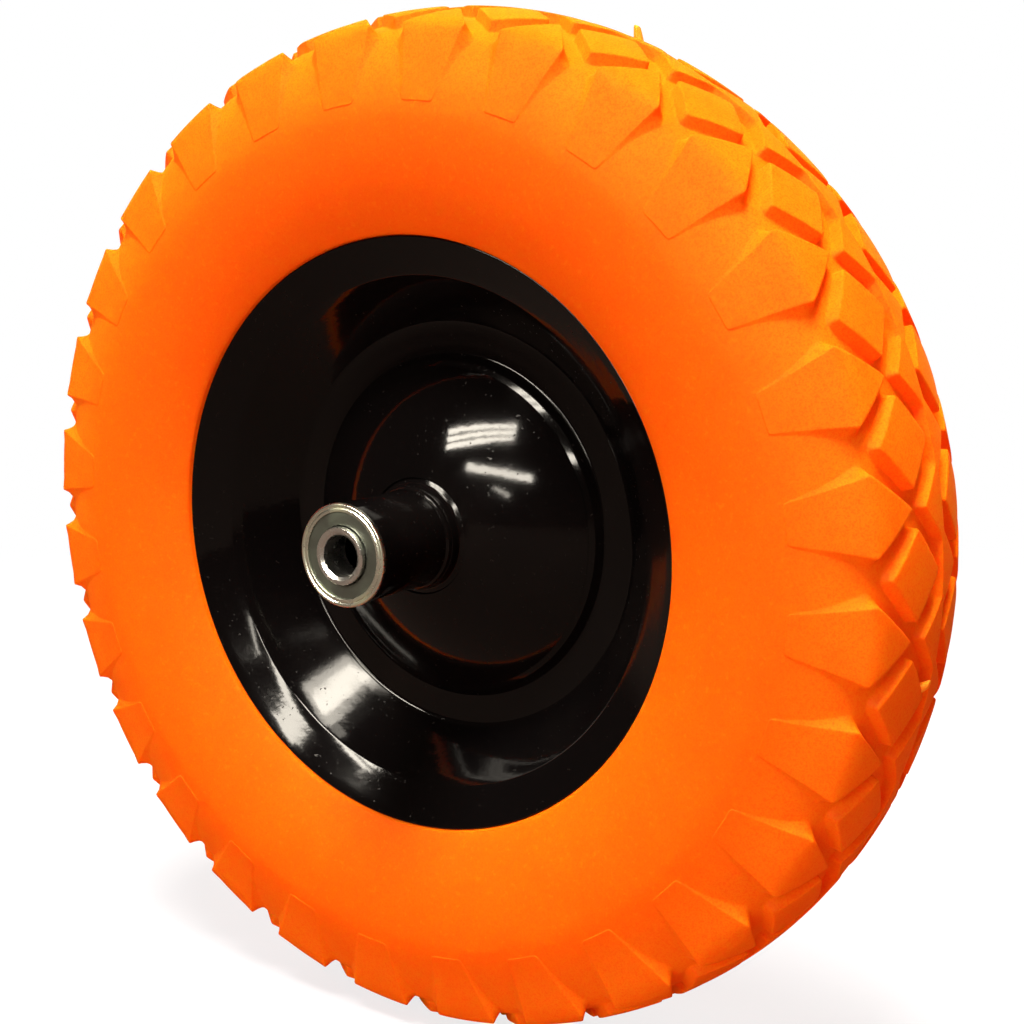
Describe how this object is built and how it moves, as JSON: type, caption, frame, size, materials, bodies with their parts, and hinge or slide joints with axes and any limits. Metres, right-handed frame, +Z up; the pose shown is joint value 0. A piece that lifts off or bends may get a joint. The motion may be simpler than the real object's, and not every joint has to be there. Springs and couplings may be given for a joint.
{
  "type": "wheelbarrow wheel",
  "caption": "Solid foam wheelbarrow wheel with block tread on a stamped steel rim, with flanged hub bearings for a plain axle.",
  "frame": {"origin": "centre of the wheel, on the axle line and in the middle plane of the tyre", "axes": "+Y along the axle, away from the face that the picture shows; +Z up; +X to the right when looking along +Y"},
  "size_m": [0.4034, 0.1514, 0.4034],
  "materials": {
    "foam": "matte moulded foam, orange",
    "black_paint": "gloss black enamel",
    "zinc": "bright zinc plate, slightly yellow",
    "race_steel": "turned steel",
    "ball_steel": "polished steel",
    "cage_steel": "pressed steel"
  },
  "bodies": {
    "wheel": {"tyre": "foam", "hub_tube": "black_paint", "near_rim_half": "black_paint", "near_hub_weld": "black_paint", "near_bearing_housing": "zinc", "near_outer_race": "race_steel", "near_dust_washer": "zinc", "far_rim_half": "black_paint", "far_hub_weld": "black_paint", "far_bearing_housing": "zinc", "far_outer_race": "race_steel", "far_dust_washer": "zinc"},
    "near_inner": {"near_inner_race": "race_steel"},
    "far_inner": {"far_inner_race": "race_steel"},
    "near_ball_set": {"near_balls": "ball_steel", "near_ball_cage": "cage_steel"},
    "far_ball_set": {"far_balls": "ball_steel", "far_ball_cage": "cage_steel"}
  },
  "joints": [
    {"name": "near_race_spin", "type": "hinge", "parent": "wheel", "child": "near_inner", "pos_m": [0, -0.068, 0], "axis": [0, 1, 0], "continuous": true},
    {"name": "far_race_spin", "type": "hinge", "parent": "wheel", "child": "far_inner", "pos_m": [0, 0.068, 0], "axis": [0, 1, 0], "continuous": true},
    {"name": "near_ball_spin", "type": "hinge", "parent": "wheel", "child": "near_ball_set", "pos_m": [0, -0.068, 0], "axis": [0, 1, 0], "continuous": true},
    {"name": "far_ball_spin", "type": "hinge", "parent": "wheel", "child": "far_ball_set", "pos_m": [0, 0.068, 0], "axis": [0, 1, 0], "continuous": true}
  ],
  "couplings": [
    {"joint": "near_ball_spin", "follows": "near_race_spin", "ratio": 0.4088},
    {"joint": "far_ball_spin", "follows": "far_race_spin", "ratio": 0.4088}
  ]
}
